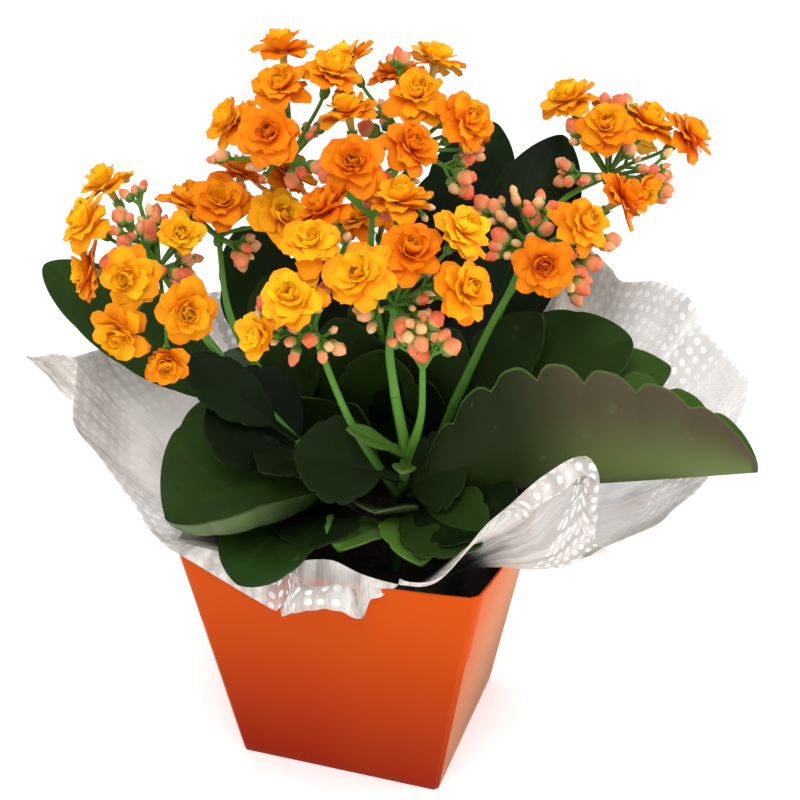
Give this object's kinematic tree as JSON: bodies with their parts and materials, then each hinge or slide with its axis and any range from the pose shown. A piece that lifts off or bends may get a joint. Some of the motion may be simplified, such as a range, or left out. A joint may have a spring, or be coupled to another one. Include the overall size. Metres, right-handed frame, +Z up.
{
  "type": "potted kalanchoe",
  "caption": "Flowering kalanchoe with double orange blooms in a nursery pot, wrapped in dotted film, standing in a square tapered cover pot.",
  "frame": {"origin": "centre of the cover's flat base, on the surface that it stands on", "axes": "+Z up out of the pot, +X to the right along the cover's front wall, and the front wall faces -Y"},
  "size_m": [0.2924, 0.1975, 0.2846],
  "materials": {
    "cover_card": "satin",
    "film": "frosted",
    "pot_plastic": "matte",
    "soil": "crumbly",
    "plant_flesh": "satin",
    "petals": "velvety"
  },
  "bodies": {
    "root": {"cover": "cover_card", "wrap_film": "film", "nursery_pot": "pot_plastic", "soil": "soil", "shoot_front_left": "plant_flesh", "shoot_front_right": "plant_flesh", "shoot_right": "plant_flesh", "shoot_left": "plant_flesh", "shoot_back": "plant_flesh", "bloom_left_1": "petals", "bloom_left_2": "petals", "bloom_left_3": "petals", "bloom_left_4": "petals", "bloom_left_5": "petals", "bloom_left_6": "petals", "bloom_left_7": "petals", "bloom_left_8": "petals", "bloom_left_9": "petals", "bloom_middle_1": "petals", "bloom_middle_2": "petals", "bloom_middle_3": "petals", "bloom_middle_4": "petals", "bloom_top_left_1": "petals", "bloom_top_left_2": "petals", "bloom_top_left_3": "petals", "bloom_top_left_4": "petals", "bloom_top_left_5": "petals", "bloom_top_front_1": "petals", "bloom_top_front_2": "petals", "bloom_top_front_3": "petals", "bloom_top_right_1": "petals", "bloom_top_right_2": "petals", "bloom_top_right_3": "petals", "bloom_top_right_4": "petals", "bloom_top_right_5": "petals", "bloom_top_right_6": "petals", "bloom_front_right_1": "petals", "bloom_front_right_2": "petals", "bloom_front_right_3": "petals", "bloom_front_right_4": "petals", "bloom_front_right_5": "petals", "bloom_front_right_6": "petals", "bloom_front_left_1": "petals", "bloom_front_left_2": "petals", "bloom_front_left_3": "petals", "bloom_right_1": "petals", "bloom_right_2": "petals", "bloom_right_3": "petals", "bloom_back_1": "petals", "bloom_back_2": "petals", "bloom_back_3": "petals", "bloom_back_4": "petals", "bloom_back_5": "petals", "bloom_back_6": "petals", "bloom_rear_1": "petals", "bloom_rear_2": "petals", "bloom_rear_3": "petals", "bloom_rear_4": "petals"}
  },
  "joints": []
}
